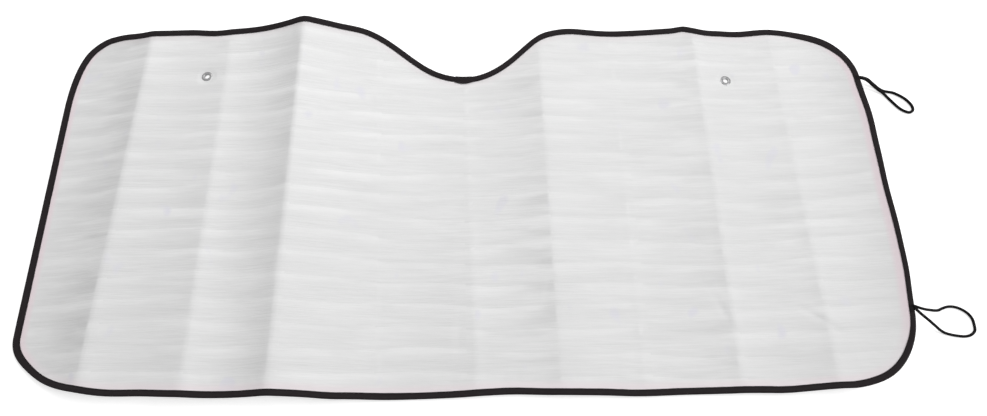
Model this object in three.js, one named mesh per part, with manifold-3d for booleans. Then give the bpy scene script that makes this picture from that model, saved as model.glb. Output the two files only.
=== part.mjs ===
// Car windscreen sunshade: one white foam sheet, pleated so that it folds up, with a bound edge,
// two metal eyelets and two elastic loops that hold it shut when it is folded.
// Millimetres. +X runs along the width, +Y runs up towards the mirror notch and +Z is up.
// The shade lies face up on a flat surface at Z = 0, opened out, with its old folds still standing.

import * as THREE from "three";
import { mergeVertices } from "three/addons/utils/BufferGeometryUtils.js";
import Module from "manifold-3d";

const wasm = await Module();
wasm.setup();

// Outline of the shade, over the binding
const pleatPitch = 130;
const shadeHeight = 613;
const topLeftCorner = { across: 59, along: 137 };
const topRightCorner = { across: 116, along: 102 };
const bottomLeftCorner = { across: 230, along: 94 };
const bottomRightCorner = { across: 105, along: 104 };
const rightTaper = { rise: 382, inset: 17 }; // the right side leans in below this height

// Notch for the mirror's foot
const notchHalfWidth = 192;
const notchDepth = 86;
const notchShoulderReach = 89;
const notchFloorReach = 84;

// Sheet and its form as it lies
const sheetThickness = 3;
const ribPitch = 35;
const ribRise = 0.5;

// Folds from left to right, in hundredths of the pleat pitch: sideways drift from the regular
// pitch and height above the lowest line of the sheet, each at the top and at the bottom edge,
// and how far the middle of the pleat that follows hangs below a straight line
const leftEdge = { topHeight: 0, bottomHeight: 0, sag: 4.5 };
const folds = [
  { topDrift: 4, bottomDrift: -14, topHeight: 22.5, bottomHeight: 18, sag: 3.5 },
  { topDrift: 6, bottomDrift: -2, topHeight: 22, bottomHeight: 22, sag: 7.5 },
  { topDrift: 1.5, bottomDrift: -11, topHeight: 45, bottomHeight: 25.5, sag: 1.5 },
  { topDrift: -8, bottomDrift: 6, topHeight: 16.5, bottomHeight: 1.5, sag: 2.5 },
  { topDrift: 3, bottomDrift: 11, topHeight: 1.5, bottomHeight: 3.5, sag: 2.5 },
  { topDrift: -1.5, bottomDrift: 1.5, topHeight: 15, bottomHeight: 6, sag: 0 },
  { topDrift: -9, bottomDrift: -8, topHeight: 6, bottomHeight: 1, sag: 2 },
  { topDrift: 0, bottomDrift: -6, topHeight: 7, bottomHeight: 3.5, sag: 3 },
  { topDrift: 0, bottomDrift: -6, topHeight: 0.5, bottomHeight: 13.5, sag: 2 },
];
const rightEdge = { topHeight: 4.5, bottomHeight: 27 };

// Binding tape, folded over the edge of the sheet as a U
const bindingWidth = 10;
const tapeThickness = 0.8;
const clearance = 0.3; // between any two pieces
const lapStart = 12; // where the end of the tape climbs over its beginning
const lapLength = 24;
const lapTail = 3; // the tape's end is wider on the face than the rest

// Eyelets and the washers behind them
const leftEyeletInset = { fromSide: 234, fromTop: 91 };
const rightEyeletInset = { fromSide: 217, fromTop: 99 };
const eyeletBore = 3.75; // radius
const barrelWall = 0.4;
const flangeRadius = 8;
const flangeThickness = 0.8;
const flangeBevel = 0.5;
const rolledLip = 1.4;
const lipThickness = 0.6;
const washerRadius = 7.2;
const washerThickness = 0.5;
const crimpedThickness = 1.8; // the sheet, where the eyelet squeezes it

// Elastic loops: the centre line of each round cord, from the binding and back to it
const cordDiameter = 4;
const upperLoopRoute = [
  [651.0, 206.9, 11.9],
  [658.4, 205.7, 11.5],
  [665.5, 203.6, 9.5],
  [671.4, 199.6, 6.7],
  [677.3, 195.6, 4.0],
  [683.0, 190.7, 2.3],
  [689.1, 186.2, 2.1],
  [696.3, 184.1, 2.1],
  [703.6, 182.5, 2.1],
  [710.4, 178.9, 2.1],
  [716.7, 174.5, 2.1],
  [722.3, 169.3, 2.1],
  [726.7, 163.1, 2.1],
  [729.8, 156.1, 2.1],
  [729.5, 148.7, 2.1],
  [723.7, 144.3, 2.1],
  [716.5, 146.2, 2.1],
  [710.2, 150.6, 2.1],
  [705.2, 156.3, 2.1],
  [700.8, 162.6, 2.1],
  [696.6, 169.0, 2.1],
  [692.4, 175.5, 2.2],
  [687.9, 181.4, 2.9],
  [681.9, 186.1, 4.2],
  [675.9, 190.0, 6.8],
  [669.8, 193.2, 10.2],
  [663.9, 196.4, 13.8],
  [657.5, 199.6, 16.1],
  [651.5, 203.2, 15.0],
];
const lowerLoopRoute = [
  [635.3, -193.3, 32.6],
  [643.7, -195.9, 31.2],
  [652.1, -196.3, 27.1],
  [659.8, -195.3, 21.8],
  [667.2, -194.2, 16.2],
  [674.7, -192.8, 10.6],
  [682.3, -190.8, 5.6],
  [690.3, -187.2, 2.4],
  [699.3, -184.6, 2.1],
  [708.6, -185.2, 2.1],
  [717.2, -188.8, 2.1],
  [724.5, -194.6, 2.1],
  [729.0, -202.5, 2.1],
  [729.7, -211.9, 2.1],
  [728.2, -220.9, 2.1],
  [721.3, -227.1, 2.1],
  [712.3, -229.2, 2.1],
  [702.9, -228.4, 2.1],
  [693.7, -226.6, 2.1],
  [684.8, -223.8, 2.4],
  [676.8, -220.1, 5.5],
  [669.7, -216.5, 10.5],
  [662.7, -213.8, 16.1],
  [655.8, -211.1, 21.8],
  [648.6, -208.3, 27.2],
  [641.3, -204.2, 31.4],
  [635.8, -198.6, 32.8],
];

// How finely curves are drawn
const cornerSteps = 10;
const notchSteps = 12;
const taperSteps = 4;
const columnsPerPleat = 3;
const ringSides = 20;
const cordSides = 8;
const cordStep = 1.5; // in diameters
const roundCorner = 0.5523; // handle of a cubic curve that draws a quarter ellipse

// Levels and limits that follow from the sizes above
const pleatCount = folds.length + 1;
const halfWidth = (pleatCount * pleatPitch) / 2;
const foldUnit = pleatPitch / 100;
const topY = shadeHeight / 2;
const bottomY = -topY;
const wrap = clearance + tapeThickness; // from the sheet's face to the outside of the tape
const restLevel = wrap + ribRise / 2; // mean underside of the sheet where the binding touches down
const beyond = 40; // a cutting tool reaches this far past what it cuts
const foldHeights = [...folds, rightEdge].flatMap((fold) => [fold.topHeight, fold.bottomHeight]);
const tallestFold = foldUnit * Math.max(...foldHeights);

const sheetMaterial = new THREE.MeshStandardMaterial({
  color: 0xe3e3e8,
  roughness: 0.5,
  metalness: 0.15,
  flatShading: true,
});
const bindingMaterial = new THREE.MeshStandardMaterial({
  color: 0x1c191b,
  roughness: 0.85,
  metalness: 0,
  flatShading: true,
});
const metalMaterial = new THREE.MeshStandardMaterial({
  color: 0xc4c5c9,
  roughness: 0.25,
  metalness: 1,
});
const elasticMaterial = new THREE.MeshStandardMaterial({
  color: 0x151314,
  roughness: 0.8,
  metalness: 0,
});

// Turns a closed geometry into a solid that can be joined and cut
function solidOf(geometry) {
  const bare = geometry.clone();
  bare.deleteAttribute("normal");
  bare.deleteAttribute("uv");
  const merged = mergeVertices(bare);
  return new wasm.Manifold(
    new wasm.Mesh({
      numProp: 3,
      vertProperties: merged.attributes.position.array,
      triVerts: new Uint32Array(merged.index.array),
    }),
  );
}

function geometryOf(solid) {
  const mesh = solid.getMesh();
  const geometry = new THREE.BufferGeometry();
  geometry.setAttribute("position", new THREE.BufferAttribute(mesh.vertProperties, 3));
  geometry.setIndex(new THREE.BufferAttribute(mesh.triVerts, 1));
  geometry.computeVertexNormals();
  return geometry;
}

function piece(name, geometry, material) {
  const mesh = new THREE.Mesh(geometry, material);
  mesh.name = name;
  return mesh;
}

// The outer edge of the binding, counter-clockwise from the floor of the notch
function drawOutline() {
  const leftX = -halfWidth;
  const rightX = halfWidth;
  const footX = rightX - rightTaper.inset; // right side, just above the bottom corner
  const footY = bottomY + bottomRightCorner.along;
  const taperY = bottomY + rightTaper.rise;
  const lean = (2 * rightTaper.inset) / (taperY - footY);
  const outline = new THREE.Shape();

  const notchFloorY = topY - notchDepth;
  const innerShoulder = notchHalfWidth - notchShoulderReach;
  outline.moveTo(0, notchFloorY);
  outline.bezierCurveTo(
    -notchFloorReach, notchFloorY, -innerShoulder, topY, -notchHalfWidth, topY,
  );

  const { topLeft, bottomLeft, bottomRight, topRight } = cornerCentres(leftX, rightX, footX);
  const open = 1 - roundCorner;
  outline.lineTo(topLeft.x, topY);
  outline.bezierCurveTo(
    topLeft.x - roundCorner * topLeftCorner.across, topY,
    leftX, topY - open * topLeftCorner.along,
    leftX, topLeft.y,
  );
  outline.lineTo(leftX, bottomLeft.y);
  outline.bezierCurveTo(
    leftX, bottomY + open * bottomLeftCorner.along,
    bottomLeft.x - roundCorner * bottomLeftCorner.across, bottomY,
    bottomLeft.x, bottomY,
  );
  outline.lineTo(bottomRight.x, bottomY);
  outline.bezierCurveTo(
    bottomRight.x + roundCorner * bottomRightCorner.across, bottomY,
    footX - lean * roundCorner * bottomRightCorner.along, bottomY + open * bottomRightCorner.along,
    footX, footY,
  );
  outline.quadraticCurveTo(rightX, (taperY + footY) / 2, rightX, taperY);
  outline.lineTo(rightX, topRight.y);
  outline.bezierCurveTo(
    rightX, topY - open * topRightCorner.along,
    topRight.x + roundCorner * topRightCorner.across, topY,
    topRight.x, topY,
  );

  outline.lineTo(notchHalfWidth, topY);
  outline.bezierCurveTo(innerShoulder, topY, notchFloorReach, notchFloorY, 0, notchFloorY);
  return outline;
}

function cornerCentres(leftX, rightX, footX) {
  return {
    topLeft: { x: leftX + topLeftCorner.across, y: topY - topLeftCorner.along },
    bottomLeft: { x: leftX + bottomLeftCorner.across, y: bottomY + bottomLeftCorner.along },
    bottomRight: { x: footX - bottomRightCorner.across, y: bottomY + bottomRightCorner.along },
    topRight: { x: rightX - topRightCorner.across, y: topY - topRightCorner.along },
  };
}

// Points along the outline, each curve with the steps that it needs
function outlinePoints() {
  const points = [];
  for (const curve of drawOutline().curves) {
    let steps = 1;
    if (curve.isQuadraticBezierCurve) steps = taperSteps;
    if (curve.isCubicBezierCurve) steps = cornerSteps;
    if (curve.isCubicBezierCurve && Math.abs(curve.v0.x) <= notchHalfWidth) {
      if (Math.abs(curve.v3.x) <= notchHalfWidth) steps = notchSteps;
    }
    points.push(...curve.getPoints(steps).slice(0, -1));
  }
  return points;
}

// The outline moved inwards by the inset, or outwards if it is negative
function insetOutline(points, inset) {
  return points.map((point, index) => {
    const before = points[(index + points.length - 1) % points.length];
    const after = points[(index + 1) % points.length];
    const incoming = point.clone().sub(before).normalize();
    const outgoing = after.clone().sub(point).normalize();
    const along = incoming.clone().add(outgoing).normalize();
    const inwards = new THREE.Vector2(-along.y, along.x);
    return point.clone().addScaledVector(inwards, inset / along.dot(outgoing));
  });
}

// An upright block inside a closed line, tall enough to reach through the whole shade
function blockInside(points) {
  const depth = tallestFold + 2 * beyond;
  const geometry = new THREE.ExtrudeGeometry(new THREE.Shape(points), {
    depth,
    bevelEnabled: false,
  });
  return solidOf(geometry.translate(0, 0, -beyond));
}

// Where the lines of folds and edges cross the height y, from left to right
function foldLines(y) {
  const share = (y - bottomY) / (topY - bottomY);
  const mix = (top, bottom) => foldUnit * (bottom + (top - bottom) * share);
  return [leftEdge, ...folds, rightEdge].map((line, index) => ({
    x: index * pleatPitch - halfWidth + mix(line.topDrift ?? 0, line.bottomDrift ?? 0),
    z: mix(line.topHeight, line.bottomHeight),
    sag: foldUnit * (line.sag ?? 0),
  }));
}

// Height of the smooth sheet between two folds: it sags, and the floor stops it
function pleatHeight(from, to, share) {
  const straight = from.z + (to.z - from.z) * share;
  return restLevel + Math.max(0, straight - 4 * from.sag * share * (1 - share));
}

// Height of the smooth sheet's underside at a place in plan
function sheetUnderside(x, y) {
  const lines = foldLines(y);
  let last = 1;
  while (last < lines.length - 1 && lines[last].x < x) last += 1;
  const from = lines[last - 1];
  const to = lines[last];
  const share = THREE.MathUtils.clamp((x - from.x) / (to.x - from.x), 0, 1);
  return pleatHeight(from, to, share);
}

// The grid of points that carries the sheet's form: columns follow the folds and every row
// is the crest or the trough of a cross rib
function sheetGrid() {
  const rowStep = ribPitch / 2;
  const rowCount = Math.ceil((topY - bottomY + 2 * beyond) / rowStep);
  const rows = [];
  for (let row = 0; row <= rowCount; row += 1) {
    const y = bottomY - beyond + row * rowStep;
    const rib = ((row % 2) - 0.5) * ribRise;
    const lines = foldLines(y);
    const points = [];
    for (let pleat = 1; pleat < lines.length; pleat += 1) {
      const from = lines[pleat - 1];
      const to = lines[pleat];
      for (let column = 0; column < columnsPerPleat; column += 1) {
        const share = column / columnsPerPleat;
        const x = from.x + (to.x - from.x) * share;
        points.push(new THREE.Vector3(x, y, pleatHeight(from, to, share) + rib));
      }
    }
    const left = points[0];
    const right = lines[lines.length - 1];
    const rightLevel = restLevel + right.z + rib;
    points.push(new THREE.Vector3(right.x, y, rightLevel));
    points.unshift(new THREE.Vector3(left.x - beyond, y, left.z));
    points.push(new THREE.Vector3(right.x + beyond, y, rightLevel));
    rows.push(points);
  }
  return rows;
}

// A closed layer of the sheet's form, from one distance above its underside to another
function formedLayer(grid, low, high) {
  const rowLength = grid[0].length;
  const layerSize = grid.length * rowLength;
  const positions = [low, high].flatMap((offset) =>
    grid.flatMap((row) => row.flatMap((point) => [point.x, point.y, point.z + offset])),
  );
  const faces = [];
  const corner = (row, column, layer) => layer * layerSize + row * rowLength + column;
  const quad = (a, b, c, d) => faces.push(a, b, c, a, c, d);
  for (let row = 0; row < grid.length - 1; row += 1) {
    for (let column = 0; column < rowLength - 1; column += 1) {
      const around = [[row, column], [row, column + 1], [row + 1, column + 1], [row + 1, column]];
      quad(...around.map(([r, c]) => corner(r, c, 1)));
      const [a, b, c, d] = around.map(([r, col]) => corner(r, col, 0));
      faces.push(a, c, b, a, d, c);
    }
  }
  const lastRow = grid.length - 1;
  const lastColumn = rowLength - 1;
  for (let column = 0; column < lastColumn; column += 1) {
    const next = column + 1;
    quad(corner(0, column, 0), corner(0, next, 0), corner(0, next, 1), corner(0, column, 1));
    quad(
      corner(lastRow, next, 0), corner(lastRow, column, 0),
      corner(lastRow, column, 1), corner(lastRow, next, 1),
    );
  }
  for (let row = 0; row < lastRow; row += 1) {
    const next = row + 1;
    quad(corner(next, 0, 0), corner(row, 0, 0), corner(row, 0, 1), corner(next, 0, 1));
    quad(
      corner(row, lastColumn, 0), corner(next, lastColumn, 0),
      corner(next, lastColumn, 1), corner(row, lastColumn, 1),
    );
  }
  const geometry = new THREE.BufferGeometry();
  geometry.setAttribute("position", new THREE.Float32BufferAttribute(positions, 3));
  geometry.setIndex(faces);
  return solidOf(geometry);
}

// Place and tilt of an eyelet: on the middle of the sheet, square to it
function eyeletGroup(x, inset) {
  const y = topY - inset.fromTop;
  const reach = flangeRadius;
  const slopeX = (sheetUnderside(x + reach, y) - sheetUnderside(x - reach, y)) / (2 * reach);
  const slopeY = (sheetUnderside(x, y + reach) - sheetUnderside(x, y - reach)) / (2 * reach);
  const normal = new THREE.Vector3(-slopeX, -slopeY, 1).normalize();
  const group = new THREE.Group();
  group.position.set(x, y, sheetUnderside(x, y) + sheetThickness / 2);
  group.quaternion.setFromUnitVectors(new THREE.Vector3(0, 0, 1), normal);
  group.updateMatrixWorld(true);
  return group;
}

// A ring turned about +Z from pairs of radius and height
function turned(profile) {
  const points = profile.map(([radius, height]) => new THREE.Vector2(radius, height));
  points.push(points[0].clone());
  return new THREE.LatheGeometry(points, ringSides).rotateX(Math.PI / 2);
}

// What an eyelet needs cut from the sheet: a hole for the barrel and a squeezed seat on each side
function eyeletCut(group) {
  const holeRadius = eyeletBore + barrelWall + clearance;
  const seatRadius = flangeRadius + clearance;
  const seatLevel = crimpedThickness / 2;
  const cutter = turned([
    [0, -beyond],
    [seatRadius, -beyond],
    [seatRadius, -seatLevel],
    [holeRadius, -seatLevel],
    [holeRadius, seatLevel],
    [seatRadius, seatLevel],
    [seatRadius, beyond],
    [0, beyond],
  ]);
  return solidOf(cutter.applyMatrix4(group.matrixWorld));
}

function eyeletGeometry() {
  const barrelRadius = eyeletBore + barrelWall;
  const flangeLow = crimpedThickness / 2 + clearance;
  const flangeHigh = flangeLow + flangeThickness;
  const lipHigh = -(crimpedThickness / 2 + clearance + washerThickness + clearance);
  const lipLow = lipHigh - lipThickness;
  const lipRadius = barrelRadius + rolledLip;
  const lipBevel = lipThickness / 3;
  return turned([
    [eyeletBore, lipLow + lipBevel],
    [eyeletBore + lipBevel, lipLow],
    [lipRadius - lipBevel, lipLow],
    [lipRadius, lipLow + lipBevel],
    [lipRadius, lipHigh],
    [barrelRadius, lipHigh],
    [barrelRadius, flangeLow],
    [flangeRadius, flangeLow],
    [flangeRadius, flangeHigh - flangeBevel],
    [flangeRadius - flangeBevel, flangeHigh],
    [eyeletBore + flangeBevel, flangeHigh],
    [eyeletBore, flangeHigh - flangeBevel],
  ]);
}

function washerGeometry() {
  const innerRadius = eyeletBore + barrelWall + clearance;
  const high = -(crimpedThickness / 2 + clearance);
  const low = high - washerThickness;
  const bevel = washerThickness / 2;
  return turned([
    [innerRadius, low],
    [washerRadius - bevel, low],
    [washerRadius, low + bevel],
    [washerRadius, high],
    [innerRadius, high],
  ]);
}

// Binding: a U of tape round the sheet's edge, cut open at one place in the notch
function bindingSolid(grid, outline) {
  const outside = formedLayer(grid, -wrap, sheetThickness + wrap);
  const hollow = formedLayer(grid, -clearance, sheetThickness + clearance);
  const within = blockInside(insetOutline(outline, bindingWidth));
  const ring = outside
    .intersect(blockInside(outline))
    .subtract(hollow.intersect(blockInside(insetOutline(outline, tapeThickness))));
  const slit = blockBetween(lapStart - clearance, lapStart);
  return ring.subtract(within).subtract(slit).add(lapSolid(grid, outline, outside));
}

// The end of the tape, laid over its beginning: it joins the ring on one side of the slit only
function lapSolid(grid, outline, ringLayer) {
  const high = sheetThickness + wrap;
  const over = formedLayer(grid, -wrap - wrap, high + wrap)
    .intersect(blockInside(insetOutline(outline, -wrap)))
    .subtract(blockInside(insetOutline(outline, bindingWidth + lapTail)));
  const clearOfRing = formedLayer(grid, -wrap - clearance, high + clearance)
    .intersect(blockInside(insetOutline(outline, -clearance)))
    .intersect(blockBetween(lapStart - lapLength - beyond, lapStart));
  const inRing = ringLayer.intersect(blockInside(outline));
  return over
    .subtract(clearOfRing)
    .subtract(inRing)
    .intersect(blockBetween(lapStart - lapLength, lapStart + wrap));
}

// Everything between two values of x near the notch
function blockBetween(fromX, toX) {
  const low = topY - notchDepth - beyond;
  const high = topY - notchDepth + beyond;
  const corners = [[fromX, low], [toX, low], [toX, high], [fromX, high]];
  return blockInside(corners.map(([x, y]) => new THREE.Vector2(x, y)));
}

function cordGeometry(route) {
  const path = new THREE.CatmullRomCurve3(route.map((point) => new THREE.Vector3(...point)));
  const corners = Array.from({ length: cordSides }, (_, side) => {
    const angle = (side / cordSides) * 2 * Math.PI;
    return new THREE.Vector2(Math.cos(angle), Math.sin(angle)).multiplyScalar(cordDiameter / 2);
  });
  const section = new THREE.Shape(corners);
  const steps = Math.round(path.getLength() / (cordStep * cordDiameter));
  return new THREE.ExtrudeGeometry(section, { steps, extrudePath: path, bevelEnabled: false });
}

const shade = new THREE.Group();
const grid = sheetGrid();
const outline = outlinePoints();
const eyelets = [
  { side: "left", group: eyeletGroup(leftEyeletInset.fromSide - halfWidth, leftEyeletInset) },
  { side: "right", group: eyeletGroup(halfWidth - rightEyeletInset.fromSide, rightEyeletInset) },
];

// Sheet
let sheet = formedLayer(grid, 0, sheetThickness).intersect(blockInside(insetOutline(outline, wrap)));
for (const { group } of eyelets) {
  sheet = sheet.subtract(eyeletCut(group));
}
shade.add(piece("shade_panel", geometryOf(sheet), sheetMaterial));

// Binding
shade.add(piece("edge_binding", geometryOf(bindingSolid(grid, outline)), bindingMaterial));

// Eyelets and washers
for (const { side, group } of eyelets) {
  group.add(piece(`eyelet_${side}`, eyeletGeometry(), metalMaterial));
  group.add(piece(`eyelet_washer_${side}`, washerGeometry(), metalMaterial));
  shade.add(group);
}

// Elastic loops
shade.add(piece("elastic_loop_upper", cordGeometry(upperLoopRoute), elasticMaterial));
shade.add(piece("elastic_loop_lower", cordGeometry(lowerLoopRoute), elasticMaterial));

export default shade;
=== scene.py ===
import math

import bpy
import numpy as np
from mathutils import Matrix, Vector, kdtree, noise
from mathutils.geometry import delaunay_2d_cdt


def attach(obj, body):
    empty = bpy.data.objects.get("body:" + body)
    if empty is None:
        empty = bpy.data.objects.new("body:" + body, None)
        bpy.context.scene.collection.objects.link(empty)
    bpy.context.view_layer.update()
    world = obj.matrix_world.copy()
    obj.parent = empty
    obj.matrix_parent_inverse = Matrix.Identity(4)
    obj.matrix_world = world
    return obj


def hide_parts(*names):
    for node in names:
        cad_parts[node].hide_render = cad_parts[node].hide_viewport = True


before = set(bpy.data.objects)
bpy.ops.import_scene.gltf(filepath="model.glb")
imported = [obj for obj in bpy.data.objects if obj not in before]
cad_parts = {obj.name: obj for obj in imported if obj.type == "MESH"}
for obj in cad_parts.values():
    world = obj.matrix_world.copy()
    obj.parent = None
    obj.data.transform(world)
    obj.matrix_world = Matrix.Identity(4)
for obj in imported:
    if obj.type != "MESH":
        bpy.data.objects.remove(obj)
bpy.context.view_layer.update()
mm = 0.001


# Node trees are built with this pair: a Graph makes nodes, a Signal is one of their outputs
class Signal:
    def __init__(self, graph, socket):
        self.graph = graph
        self.socket = socket

    def maths(self, operation, first, second):
        return self.graph.add("ShaderNodeMath", {"operation": operation}, {0: first, 1: second})

    def __add__(self, other):
        return self.maths("ADD", self, other)

    def __sub__(self, other):
        return self.maths("SUBTRACT", self, other)

    def __rsub__(self, other):
        return self.maths("SUBTRACT", other, self)

    def __mul__(self, other):
        return self.maths("MULTIPLY", self, other)

    def __truediv__(self, other):
        return self.maths("DIVIDE", self, other)

    __radd__ = __add__
    __rmul__ = __mul__


class Graph:
    def __init__(self, tree):
        self.tree = tree
        tree.nodes.clear()

    def add(self, kind, settings=None, inputs=None, output=0):
        node = self.tree.nodes.new(kind)
        for key, value in (settings or {}).items():
            if key == "stops":
                self.setRamp(node.color_ramp, value)
            else:
                setattr(node, key, value)
        for key, value in (inputs or {}).items():
            if isinstance(value, Signal):
                self.tree.links.new(value.socket, node.inputs[key])
            else:
                node.inputs[key].default_value = value
        return Signal(self, node.outputs[output]) if node.outputs else node

    def setRamp(self, ramp, stops):
        while len(ramp.elements) > 1:
            ramp.elements.remove(ramp.elements[-1])
        for index, (place, value) in enumerate(stops):
            element = ramp.elements[0] if index == 0 else ramp.elements.new(place)
            element.position = place
            element.color = grey(value)

    def other(self, signal, name):  # another output of the same node
        return Signal(self, signal.socket.node.outputs[name])

    def mix(self, share, first, second, blend="MIX"):
        settings = {"data_type": "RGBA", "blend_type": blend}
        return self.add("ShaderNodeMix", settings, {0: share, 6: first, 7: second}, output=2)

    def limit(self, value):  # to between 0 and 1
        return self.add("ShaderNodeClamp", {}, {0: value})

    def apply(self, operation, value):
        return self.add("ShaderNodeMath", {"operation": operation}, {0: value})

    def bump(self, height, strength, distance):
        inputs = {"Strength": strength, "Distance": distance, "Height": height}
        return self.add("ShaderNodeBump", {}, inputs)

    def objectPlace(self):
        return self.add("ShaderNodeTexCoord", {}, {}, output="Object")

    def attribute(self, name):
        return self.add("ShaderNodeAttribute", {"attribute_name": name}, {}, output="Fac")

    def ramp(self, value, stops):
        return self.add("ShaderNodeValToRGB", {"stops": stops}, {0: value})

    def noise(self, place, stretch, detail=2.0, roughness=0.5, turn=(0, 0, 0)):
        moved = self.add("ShaderNodeMapping", {}, {0: place, 2: turn, 3: stretch})
        return self.add("ShaderNodeTexNoise", {}, {0: moved, 2: 1.0, 3: detail, 4: roughness})

    def part(self, vector, axis):
        return self.add("ShaderNodeSeparateXYZ", {}, {0: vector}, output="XYZ".index(axis))


def newMaterial(name):
    material = bpy.data.materials.new(name)
    material.use_nodes = True
    return material, Graph(material.node_tree)


def grey(value):
    return (value, value, value, 1)


def finishMaterial(graph, inputs):
    shader = graph.add("ShaderNodeBsdfPrincipled", {}, inputs)
    graph.add("ShaderNodeOutputMaterial", {}, {0: shader})


def newPiece(name, points, faces, material, turnSmooth=40):
    mesh = bpy.data.meshes.new(name)
    mesh.from_pydata((np.asarray(points, float) * mm).tolist(), [], faces)
    mesh.materials.append(material)
    mesh.shade_smooth()
    mesh.set_sharp_from_angle(angle=math.radians(turnSmooth))
    mesh.update()
    piece = bpy.data.objects.new(name, mesh)
    bpy.context.scene.collection.objects.link(piece)
    return piece


def addUv(piece, uv):  # one pair of numbers for each point
    layer = piece.data.uv_layers.new(name="along")
    corners = np.empty(len(piece.data.loops), int)
    piece.data.loops.foreach_get("vertex_index", corners)
    layer.data.foreach_set("uv", np.asarray(uv, np.float32)[corners].ravel())


def smoothStep(low, high, value):
    share = np.clip((value - low) / (high - low), 0, 1)
    return share * share * (3 - 2 * share)


def uneven(places, size, seed):  # soft noise, -1 to 1, at pairs of places
    return np.array([noise.noise((a / size[0], b / size[1], seed)) for a, b in places])


# Camera, where the photograph was taken from
view = {
    "aim": (-2.37, -14.67),
    "distance": 1271.16,
    "elevation": 64.916,
    "roll": 0.8335,
    "focalPixels": 824.66,
    "centreX": 463.17,
    "drop": 0.33,
    "imageWidth": 987,
}


def makeCamera():
    data = bpy.data.cameras.new("camera")
    data.lens = view["focalPixels"] / view["imageWidth"] * data.sensor_width
    data.shift_x = (view["imageWidth"] / 2 - view["centreX"]) / view["imageWidth"]
    data.shift_y = view["drop"] / view["imageWidth"]
    data.clip_start = 0.05
    data.clip_end = 60
    camera = bpy.data.objects.new("camera", data)
    bpy.context.scene.collection.objects.link(camera)
    elevation = math.radians(view["elevation"])
    roll = math.radians(view["roll"])
    right = Vector((1, 0, 0))
    up = Vector((0, math.sin(elevation), math.cos(elevation)))
    back = Vector((0, -math.cos(elevation), math.sin(elevation)))
    axisX = right * math.cos(roll) - up * math.sin(roll)
    axisY = right * math.sin(roll) + up * math.cos(roll)
    place = Vector((*view["aim"], 0)) * mm + back * view["distance"] * mm
    turned = Matrix((axisX, axisY, back)).transposed().to_4x4()
    camera.matrix_world = Matrix.Translation(place) @ turned
    bpy.context.scene.camera = camera


makeCamera()
bpy.context.scene.view_settings.view_transform = "Standard"
print("camera placed")


# Elastic loops: braided cord, from the binding and back to it
cord = {
    "upper": {"diameter": 4.65, "raise": 0.35},
    "lower": {"diameter": 4.1, "raise": 0.05},
    "step": 0.35,
    "sides": 28,
    "carriers": 7,
    "lay": 10.0,  # length of one turn of a carrier
    "relief": 0.16,
    "tuck": 4.5,  # how far the ends reach in under the binding's edge
    "dark": (0.0035, 0.0032, 0.0035, 1),
    "light": (0.014, 0.0125, 0.0135, 1),
}
upperRoute = [
    (651.0, 206.9, 11.9), (658.4, 205.7, 11.5), (665.5, 203.6, 9.5), (671.4, 199.6, 6.7),
    (677.3, 195.6, 4.0), (683.0, 190.7, 2.3), (689.1, 186.2, 2.1), (696.3, 184.1, 2.1),
    (703.6, 182.5, 2.1), (710.4, 178.9, 2.1), (716.7, 174.5, 2.1), (722.3, 169.3, 2.1),
    (726.7, 163.1, 2.1), (729.8, 156.1, 2.1), (729.5, 148.7, 2.1), (723.7, 144.3, 2.1),
    (716.5, 146.2, 2.1), (710.2, 150.6, 2.1), (705.2, 156.3, 2.1), (700.8, 162.6, 2.1),
    (696.6, 169.0, 2.1), (692.4, 175.5, 2.2), (687.9, 181.4, 2.9), (681.9, 186.1, 4.2),
    (675.9, 190.0, 6.8), (669.8, 193.2, 10.2), (663.9, 196.4, 13.8), (657.5, 199.6, 16.1),
    (651.5, 203.2, 15.0),
]
lowerRoute = [
    (635.3, -193.3, 32.6), (643.7, -195.9, 31.2), (652.1, -196.3, 27.1), (659.8, -195.3, 21.8),
    (667.2, -194.2, 16.2), (674.7, -192.8, 10.6), (682.3, -190.8, 5.6), (690.3, -187.2, 2.4),
    (699.3, -184.6, 2.1), (708.6, -185.2, 2.1), (717.2, -188.8, 2.1), (724.5, -194.6, 2.1),
    (729.0, -202.5, 2.1), (729.7, -211.9, 2.1), (728.2, -220.9, 2.1), (721.3, -227.1, 2.1),
    (712.3, -229.2, 2.1), (702.9, -228.4, 2.1), (693.7, -226.6, 2.1), (684.8, -223.8, 2.4),
    (676.8, -220.1, 5.5), (669.7, -216.5, 10.5), (662.7, -213.8, 16.1), (655.8, -211.1, 21.8),
    (648.6, -208.3, 27.2), (641.3, -204.2, 31.4), (635.8, -198.6, 32.8),
]


def smoothPath(route, step, samples=40):  # an even run through the route's points
    points = np.array(route, float)
    spans = np.linalg.norm(np.diff(points, axis=0), axis=1)
    steps = np.diff(points, axis=0) / spans[:, None]
    tangents = np.vstack([steps[:1], np.zeros((len(points) - 2, 3)), steps[-1:]])
    before, after = spans[:-1, None], spans[1:, None]
    tangents[1:-1] = (steps[:-1] * after + steps[1:] * before) / (before + after)
    dense = []
    for index, span in enumerate(spans):
        t = np.linspace(0, 1, samples, endpoint=index == len(spans) - 1)[:, None]
        start, end = points[index], points[index + 1]
        bend = (t * (1 - t) ** 2 * tangents[index] - t * t * (1 - t) * tangents[index + 1]) * span
        dense.append(start + (end - start) * (t * t * (3 - 2 * t)) + bend)
    dense = np.vstack(dense)
    run = np.concatenate([[0], np.cumsum(np.linalg.norm(np.diff(dense, axis=0), axis=1))])
    places = np.linspace(0, run[-1], int(run[-1] / step) + 1)
    return np.column_stack([np.interp(places, run, dense[:, k]) for k in range(3)]), places


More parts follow.
